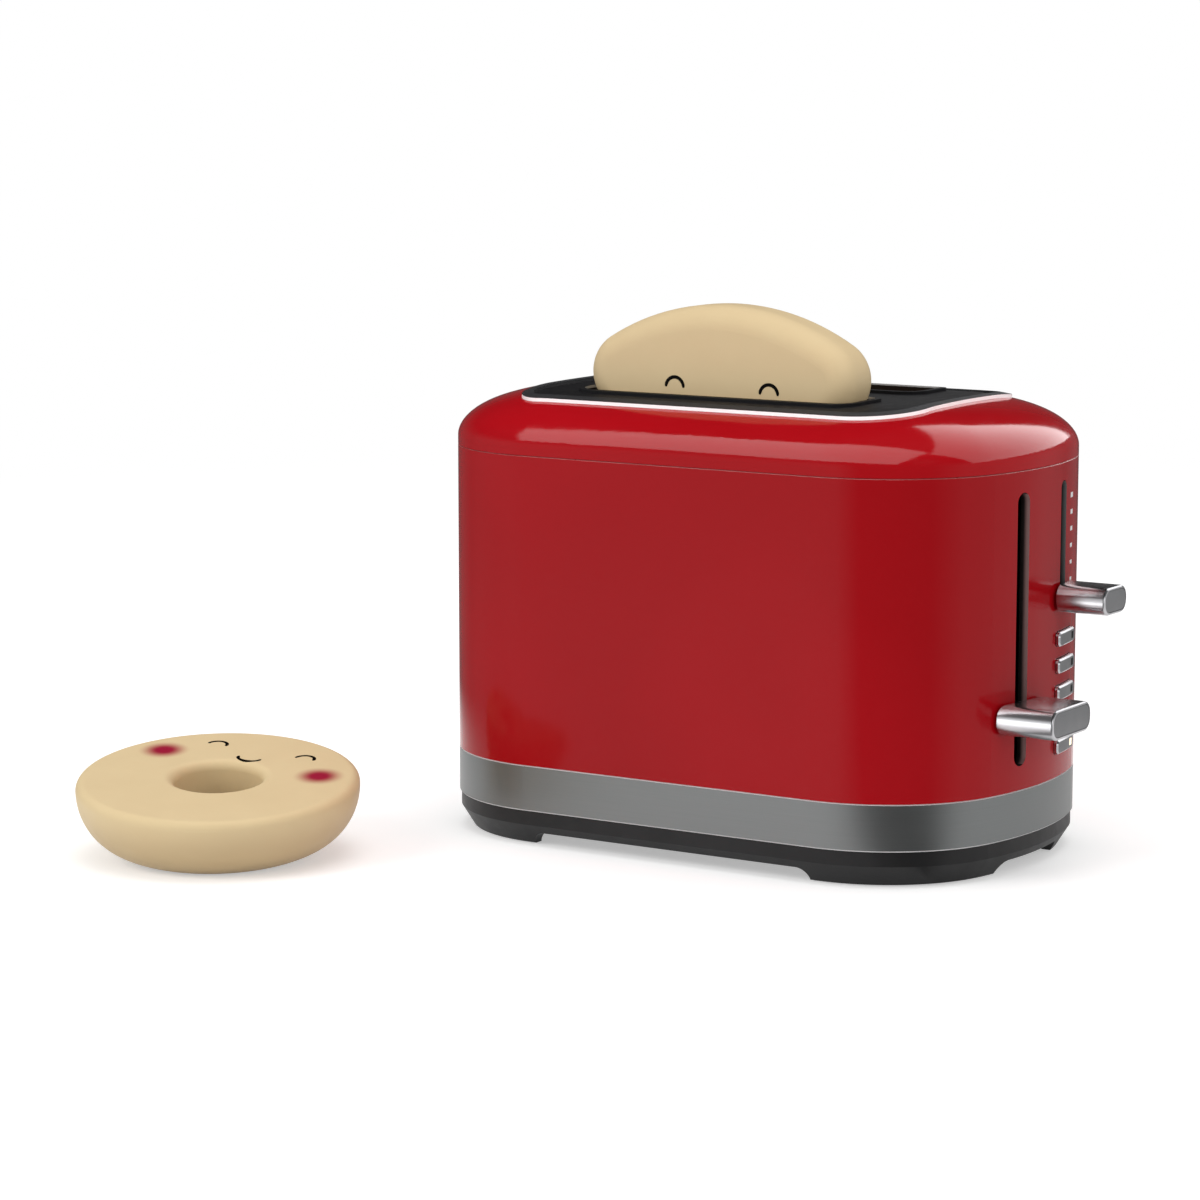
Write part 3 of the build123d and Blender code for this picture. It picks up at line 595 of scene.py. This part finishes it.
def split_keys(finishes):
    """The keys' rims are polished, and their fronts keep the record's finish."""
    def face(middle, normal):
        return int(normal.x < KEY_FRONT)
    for name in KEYS:
        split_finish(name, [finishes["knob_chrome"]], face)


def split_nodes(finishes):
    """Finishes that change within one node."""
    split_band(finishes)
    split_panel_trim(finishes)
    for name in SLOT_TRIMS:
        split_slot_trim(name, finishes)
    split_shell(finishes)
    split_keys(finishes)


# ---- making pieces -------------------------------------------------------------------

SHARP_ANGLE = math.radians(35)


def add_tube(form, rings):
    """Faces through rings of equally many points, closed at both ends."""
    rows = [[form.verts.new(point) for point in ring] for ring in rings]
    for first, second in zip(rows, rows[1:]):
        for k in range(len(first)):
            after = (k + 1) % len(first)
            form.faces.new((first[k], first[after], second[after], second[k]))
    form.faces.new(reversed(rows[0]))
    form.faces.new(rows[-1])


def make_piece(name, tubes, material, smooth=True):
    """A piece of one or more tubes, each given by its rings."""
    form = bmesh.new()
    for rings in tubes:
        add_tube(form, rings)
    bmesh.ops.recalc_face_normals(form, faces=form.faces)
    mesh = bpy.data.meshes.new(name)
    form.to_mesh(mesh)
    form.free()
    for polygon in mesh.polygons:
        polygon.use_smooth = smooth
    mesh.materials.append(material)
    piece = bpy.data.objects.new(name, mesh)
    scene.collection.objects.link(piece)
    return piece


def add_piece(name, tubes, material, body, smooth=True):
    """A piece that rides on a body, in the material it is given."""
    piece = make_piece(name, tubes, material, smooth)
    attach(piece, body)
    return piece


# ---- face lines ----------------------------------------------------------------------

LINE_HALF = 0.00060
LINE_DEPTH = 0.00014
LINE_SIDES = 8
LINE_TAPER = (0.55, 0.9, 1.0)
ARCH_STEPS = 20
BAGEL_EYES = ((-0.01625, 0.0257), (0.01625, 0.0257))
BAGEL_EYE_SIZE = (0.0064, 0.0033)
BAGEL_SMILE = (0, 0.0192)
SLICE_EYES = ((-0.0170, 0.0004), (0.0170, 0.0004))
SLICE_EYE_SIZE = (0.0064, 0.0032)
SLICE_SMILE = (0, -0.0085)
SMILE_SIZE = (0.0080, -0.0030)


def stroke(spots):
    """Rings of a thin rounded line of ink, tapered at its ends, through (place, normal) spots."""
    rings = []
    last = len(spots) - 1
    for i, (here, normal) in enumerate(spots):
        before = spots[max(i - 1, 0)][0]
        after = spots[min(i + 1, last)][0]
        side = (after - before).cross(normal).normalized()
        swell = LINE_TAPER[min(i, last - i, len(LINE_TAPER) - 1)]
        ring = []
        for k in range(LINE_SIDES):
            turn = math.tau * (k + 0.5) / LINE_SIDES
            across = side * math.cos(turn) * LINE_HALF * swell
            ring.append(here + across + normal * math.sin(turn) * LINE_DEPTH)
        rings.append(ring)
    return rings


def arch(face_point, middle, size):
    """Spots along an arched line on a face; a negative height makes it a smile."""
    width, height = size
    spots = []
    for i in range(ARCH_STEPS + 1):
        turn = math.pi * i / ARCH_STEPS
        right = middle[0] - math.cos(turn) * width / 2
        spots.append(face_point(right, middle[1] + math.sin(turn) * height))
    return spots


def add_face(name, face_point, eyes, eye_size, smile, body, ink):
    """Two closed, arched eyes and a small smile."""
    lines = [stroke(arch(face_point, eye, eye_size)) for eye in eyes]
    lines.append(stroke(arch(face_point, smile, SMILE_SIZE)))
    add_piece(name, lines, ink, body)


def add_faces(ink):
    add_face("bagel_face_lines", bagel_point, BAGEL_EYES, BAGEL_EYE_SIZE, BAGEL_SMILE, "housing", ink)
    add_face("slice_face_lines", slice_point, SLICE_EYES, SLICE_EYE_SIZE, SLICE_SMILE, "lift", ink)


# ---- browning marks ------------------------------------------------------------------

MARK_COUNT = 7
MARK_SIDE = 0.0086
MARK_RISE = 0.0307
MARK_PITCH = 0.00527
MARK_HALF_LENGTH = 0.0013
MARK_LENGTH_STEP = 0.00005
MARK_HALF_HEIGHT = 0.0008
MARK_HEIGHT_STEP = 0.00006
MARK_RAISED = 0.00006
MARK_SUNK = 0.0004
MARK_COLUMNS = 5


def add_marks(white):
    """Short printed dashes beside the slider's slot, each a little smaller than the one above."""
    slider = box_middle("slider_stem")
    marks = []
    for i in range(MARK_COUNT):
        z = slider.z + MARK_RISE - MARK_PITCH * i
        half_length = MARK_HALF_LENGTH - MARK_LENGTH_STEP * i
        half_height = MARK_HALF_HEIGHT - MARK_HEIGHT_STEP * i
        corners = ((MARK_RAISED, half_height), (MARK_RAISED, -half_height),
                   (-MARK_SUNK, -half_height), (-MARK_SUNK, half_height))
        columns = []
        for k in range(MARK_COLUMNS):
            share = 2 * k / (MARK_COLUMNS - 1) - 1
            place, normal = end_wall_point(slider.y + MARK_SIDE + half_length * share, z)
            level = Vector((normal.x, normal.y, 0)).normalized()
            columns.append([place + level * out + Vector((0, 0, up)) for out, up in corners])
        marks.append(columns)
    add_piece("browning_marks", marks, white, "housing", smooth=False)


# ---- knobs ---------------------------------------------------------------------------

KNOB_CORNER = 0.0039
KNOB_ROUND = 0.0008
ROUND_STEPS = 5
CORNER_POINTS = 9
PLATE_INSET = 0.00085
PLATE_GROOVE = 0.00012
PLATE_SEAT = 0.0010
PLATE_ROUND = 0.0002
PLATE_EASE = 0.3
WALL_GAP = 0.0012
CLEAR_Z = 0.122


def rounded_outline(width, height, corner):
    """Points of a rounded rectangle in Y and Z about its middle, counter-clockwise from +Y."""
    points = []
    for k, (side_y, side_z) in enumerate(((1, 1), (-1, 1), (-1, -1), (1, -1))):
        for i in range(CORNER_POINTS):
            turn = math.pi / 2 * (k + i / (CORNER_POINTS - 1))
            points.append((side_y * (width / 2 - corner) + corner * math.cos(turn),
                           side_z * (height / 2 - corner) + corner * math.sin(turn)))
    return points


def add_knob(name, body, finishes):
    """A bar whose back follows the wall, with a soft front rim and a flat plate let into it."""
    low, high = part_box(name)
    middle = box_middle(name)

    def outline(inset):
        size_y, size_z = high.y - low.y - 2 * inset, high.z - low.z - 2 * inset
        points = rounded_outline(size_y, size_z, KNOB_CORNER - inset)
        return [(middle.y + dy, middle.z + dz) for dy, dz in points]

    def ring(inset, behind_front):
        return [(high.x - behind_front, y, z) for y, z in outline(inset)]

    def back_ring():
        """The wall is upright, so its place is taken at CLEAR_Z, above its openings."""
        return [(end_wall_point(y, CLEAR_Z)[0].x + WALL_GAP, y, z) for y, z in outline(0)]

    bar_rings = [back_ring(), ring(0, KNOB_ROUND)]
    for i in range(1, ROUND_STEPS + 1):
        turn = math.pi / 2 * i / ROUND_STEPS
        bar_rings.append(ring(KNOB_ROUND * (1 - math.cos(turn)), KNOB_ROUND * (1 - math.sin(turn))))
    bar_rings += [ring(PLATE_INSET, 0), ring(PLATE_INSET, PLATE_SEAT)]
    inset = PLATE_INSET + PLATE_GROOVE
    eased = PLATE_EASE * PLATE_ROUND
    plate_rings = [ring(inset, PLATE_SEAT), ring(inset, PLATE_ROUND),
                   ring(inset + eased, eased), ring(inset + PLATE_ROUND, 0)]
    bar = add_piece(name + "_bar", [bar_rings], finishes["knob_chrome"], body)
    plate = add_piece(name + "_plate", [plate_rings], finishes["knob_grey"], body)
    for piece in (bar, plate):
        piece.data.set_sharp_from_angle(angle=SHARP_ANGLE)
    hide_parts(name)
    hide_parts(name + "_face")
    return bar


# ---- lift springs --------------------------------------------------------------------

SPRING_WIRE = 0.00045
SPRING_TURNS = 8.5
SPRING_STEPS = 24
WIRE_SIDES = 8
END_SHARE = 0.09
END_RISE = 0.00105
UP = Vector((0, 0, 1))


def clamp(value):
    """A value held between 0 and 1."""
    return min(max(value, 0), 1)


def add_spring(name, finishes):
    """A coil with closed end turns, which stretches between the chassis and the lift carriage."""
    low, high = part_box(name)
    middle = box_middle(name)
    radius = (high.x - low.x) / 2 - SPRING_WIRE
    bottom, top = low.z + SPRING_WIRE, high.z - SPRING_WIRE
    open_rise = top - bottom - 2 * END_RISE
    count = int(SPRING_TURNS * SPRING_STEPS)
    rings = []
    for i in range(count + 1):
        share = i / count
        closed = clamp(share / END_SHARE) + clamp((share - 1) / END_SHARE + 1)
        climb = clamp((share - END_SHARE) / (1 - 2 * END_SHARE))
        turn = math.tau * SPRING_TURNS * share
        out = Vector((math.cos(turn), math.sin(turn), 0))
        height = bottom + END_RISE * closed + open_rise * climb
        centre = Vector((middle.x, middle.y, height)) + out * radius
        ring = []
        for k in range(WIRE_SIDES):
            around_wire = math.tau * k / WIRE_SIDES
            ring.append(centre + (out * math.cos(around_wire) + UP * math.sin(around_wire)) * SPRING_WIRE)
        rings.append(ring)
    spring = make_piece(name + "_coil", [rings], finishes["rod_steel"])
    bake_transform(spring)
    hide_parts(name)


# ---- floor and background ------------------------------------------------------------

FLOOR_RADIUS = 9
FLOOR_SIDES = 96
FLOOR_BOUNCE = 0.79
FLOOR_SHOWN = 0.77
FLOOR_DRIFT = 1.01
FLOOR_GLOW = 0.42
SHADOW_NEAR, SHADOW_FAR = 0.45, 1.1
FLAGS_NEAR, FLAGS_FAR = 0.20, 0.34
AMBIENT_COLOR = (1.0, 0.99, 0.98, 1)
AMBIENT = 0.60
# How white the studio is in the gloss, as (place, level): by height, and by bearing, for the
# background and for the floor near the object. Bearings run from 0 to 1, and the floor's are
# taken from BEARING_FROM.
BY_HEIGHT = ((0.10, 1.0), (0.38, 0.15))
BY_BEARING = ((0.00, 0.22), (0.04, 0.08), (0.13, 0.08), (0.24, 0.22), (0.36, 1.0), (0.47, 1.0),
              (0.52, 0.2), (0.68, 0.2), (0.76, 0.8), (0.92, 0.62), (0.97, 0.22))
BY_BEARING_NEAR = ((0.00, 1.0), (0.46, 1.0), (0.52, 0.2), (0.68, 0.2), (0.76, 0.82))
BEARING_FROM = (0.085, -0.045)


def seen_directly(shader):
    """1 for rays that show the background itself: from the camera, off gloss and through glass."""
    path = shader.new("ShaderNodeLightPath")
    seen = path.outputs["Is Camera Ray"]
    for ray in ("Is Glossy Ray", "Is Transmission Ray"):
        seen = shader.math("MAXIMUM", seen, path.outputs[ray])
    return seen


def glossy_levels(shader, share, stops):
    """Grey levels along a share, for glossy rays only; all other rays see white."""
    ramp = shader.new("ShaderNodeValToRGB")
    elements = ramp.color_ramp.elements
    while len(elements) < len(stops):
        elements.new(0.5)
    for element, (place, level) in zip(elements, stops):
        element.position = place
        element.color = grey(level)
    shader.link(share, ramp.inputs["Fac"])
    path = shader.new("ShaderNodeLightPath")
    return shader.mix(path.outputs["Is Glossy Ray"], WHITE, ramp.outputs["Color"])


def around(shader, vector, stops):
    """How white the studio is by its bearing round the object: dark flags stand on two sides."""
    backward = shader.math("MULTIPLY", shader.axis("Y", vector), -1)
    bearing = shader.math("ARCTAN2", shader.axis("X", vector), backward)
    return glossy_levels(shader, shader.spread(bearing, -math.pi, math.pi), stops)


def floor_material():
    """White floor that keeps the shadow near the object and runs out into the white background."""
    shader = new_shader("floor")
    length = shader.new("ShaderNodeVectorMath", operation="LENGTH")
    shader.link(shader.position(), length.inputs[0])
    distance = length.outputs["Value"]
    bearing = shader.mapping(place=(-BEARING_FROM[0], -BEARING_FROM[1], 0))
    level = shader.mix(shader.spread(distance, FLAGS_NEAR, FLAGS_FAR, smooth=True),
                       around(shader, bearing, BY_BEARING_NEAR), around(shader, bearing, BY_BEARING))
    tint = shader.mottled(grey(FLOOR_SHOWN), grey(FLOOR_SHOWN * FLOOR_DRIFT), scale=3)
    shown = shader.plain("ShaderNodeBsdfDiffuse", shader.mix(1, tint, level, blend="MULTIPLY"))
    glow = shader.plain("ShaderNodeEmission", level, Strength=FLOOR_GLOW)
    lit = shader.new("ShaderNodeAddShader")
    shader.link(shown, lit.inputs[0])
    shader.link(glow, lit.inputs[1])
    white = shader.plain("ShaderNodeEmission", level, Strength=1)
    away = shader.spread(distance, SHADOW_NEAR, SHADOW_FAR, smooth=True)
    ground = shader.mix_shaders(away, lit.outputs["Shader"], white)
    bounce = shader.plain("ShaderNodeBsdfDiffuse", grey(FLOOR_BOUNCE))
    return shader.finish(shader.mix_shaders(seen_directly(shader), bounce, ground))


def add_floor():
    bpy.ops.mesh.primitive_circle_add(vertices=FLOOR_SIDES, radius=FLOOR_RADIUS, fill_type="NGON",
                                      location=(0, 0, 0))
    floor = bpy.context.object
    floor.name = "floor"
    floor.data.materials.append(floor_material())


def add_world():
    """White behind the object, flagged in its gloss, and an even light on it from all round."""
    world = bpy.data.worlds.new("studio")
    scene.world = world
    shader = Shader(world, "ShaderNodeOutputWorld")
    direction = shader.position("Generated")
    by_height = glossy_levels(shader, shader.axis("Z", direction), BY_HEIGHT)
    flagged = shader.mix(1, by_height, around(shader, direction, BY_BEARING), blend="MULTIPLY")
    ambient = shader.plain("ShaderNodeBackground", AMBIENT_COLOR, Strength=AMBIENT)
    shown = shader.plain("ShaderNodeBackground", flagged, Strength=1)
    shader.finish(shader.mix_shaders(seen_directly(shader), ambient, shown))


# ---- light ---------------------------------------------------------------------------

def collect(name, pieces):
    """A collection of pieces that a lamp can be kept to."""
    group = bpy.data.collections.new(name)
    for piece in pieces:
        group.objects.link(piece)
    return group


def add_light(name, place, facing, size, power, only=None, in_gloss=False):
    """A rectangular lamp, kept to a collection if one is given. It lights, or shows in the gloss."""
    data = bpy.data.lights.new(name, "AREA")
    data.shape = "RECTANGLE"
    data.size, data.size_y = size
    data.energy = power
    light = bpy.data.objects.new(name, data)
    light.location = place
    light.rotation_euler = Vector(facing).to_track_quat("-Z", "Y").to_euler()
    light.visible_diffuse = not in_gloss
    light.visible_glossy = in_gloss
    light.visible_transmission = in_gloss
    light.visible_camera = False
    light.light_linking.receiver_collection = only
    scene.collection.objects.link(light)


def add_card(name, only, subject, normal, sideways, width, height, distance, radiance):
    """A white card that only shows in the gloss of a collection.

    It stands at a distance along a normal from its subject, and faces back along it. Its width
    and height are (from, to) shares of that distance, sideways and upward of the normal.
    """
    out = Vector(normal).normalized()
    across = Vector(sideways).normalized()
    upward = out.cross(across)
    if upward.z < 0:
        upward = -upward
    offset = across * sum(width) / 2 + upward * sum(height) / 2
    size = ((width[1] - width[0]) * distance, (height[1] - height[0]) * distance)
    power = radiance * math.pi * size[0] * size[1]
    place = Vector(subject) + (out + offset) * distance
    add_light(name, place, -out, size, power, only, in_gloss=True)


def add_gloss_cards(knob_bars):
    """What the photograph's gloss shows: two soft boxes, and small cards for the metal and panel."""
    casing = collect("glossy_casing", [nodes[name] for name in ("body_shell", "top_cover", "panel_trim")])
    add_card("front_box", casing, subject=(0.01, -0.058, 0.132), normal=(0, -0.707, 0.707),
             sideways=(1, 0, 0), width=(-0.82, 0.80), height=(-0.36, 0.90), distance=1.0, radiance=6.0)
    add_card("corner_box", casing, subject=(0.088, -0.02, 0.132), normal=(0.61, 0.61, 0.5),
             sideways=(-0.707, 0.707, 0), width=(-0.70, 1.05), height=(-0.32, 0.82), distance=1.0,
             radiance=4.2)
    metal = collect("polished_metal", knob_bars + [nodes[name] for name in KEYS])
    add_card("rim_card", metal, subject=(0.11, 0, 0.07), normal=(0.86, -0.5, 0.1),
             sideways=(0.5, 0.86, 0), width=(-0.35, 0.35), height=(-0.45, 0.35), distance=1.0,
             radiance=1.2)
    add_card("top_card", metal, subject=(0.11, 0, 0.07), normal=(0.16, 0.84, 0.5),
             sideways=(1, 0, 0), width=(-0.4, 0.4), height=(-0.3, 0.4), distance=1.0, radiance=1.8)
    add_card("barrel_card", metal, subject=(0.107, -0.02, 0.05), normal=(-0.5, -0.85, 0),
             sideways=(0.85, -0.5, 0), width=(-0.8, 0.8), height=(-0.24, -0.02), distance=0.2,
             radiance=1.5)
    panel = collect("dark_panel", [nodes[name] for name in ("top_panel", *SLOT_TRIMS, "panel_trim")])
    add_card("panel_card", panel, subject=(0.075, 0, 0.145), normal=(-0.515, 0.857, 0.15),
             sideways=(0.857, 0.515, 0), width=(-0.35, 0.35), height=(-0.1, 0.5), distance=0.25,
             radiance=0.33)


def add_lamps():
    """Lamps that light the object and leave no reflection in its gloss."""
    trim = collect("bright_line", [nodes["panel_trim"]])
    upper = collect("lid_and_slice", [nodes["top_cover"], nodes["toast_slice"]])
    add_light("key", place=(-1.2, -2.1, 1.6), facing=(1.2, 2.1, -1.55), size=(1.3, 1.1), power=20.5)
    add_light("top", place=(0.1, 0.1, 2.2), facing=(0, 0, -1), size=(1.6, 1.6), power=16)
    add_light("glint", place=(0.9, -0.8, 0.45), facing=(-0.9, 0.8, -0.3), size=(0.5, 0.5), power=6,
              only=trim)
    add_light("fill", place=(1.7, -0.7, 0.9), facing=(-1.7, 0.7, -0.8), size=(0.9, 0.9), power=3)
    add_light("lid_fill", place=(1.6, -0.9, 1.1), facing=(-1.6, 0.9, -0.95), size=(0.9, 0.9), power=7,
              only=upper)


# ---- build ---------------------------------------------------------------------------

add_camera()
finishes = make_finishes()
finish_nodes(finishes)
split_nodes(finishes)
knob_bars = [add_knob("lever_knob", "lift", finishes),
             add_knob("slider_knob", "browning_slider", finishes)]
add_spring("lift_spring_front", finishes)
add_spring("lift_spring_rear", finishes)
add_faces(printed("face_ink", srgb(8, 6, 5)))
add_marks(printed("mark_white", srgb(236, 236, 236)))
add_floor()
add_world()
add_gloss_cards(knob_bars)
add_lamps()
scene.view_settings.view_transform = "Standard"
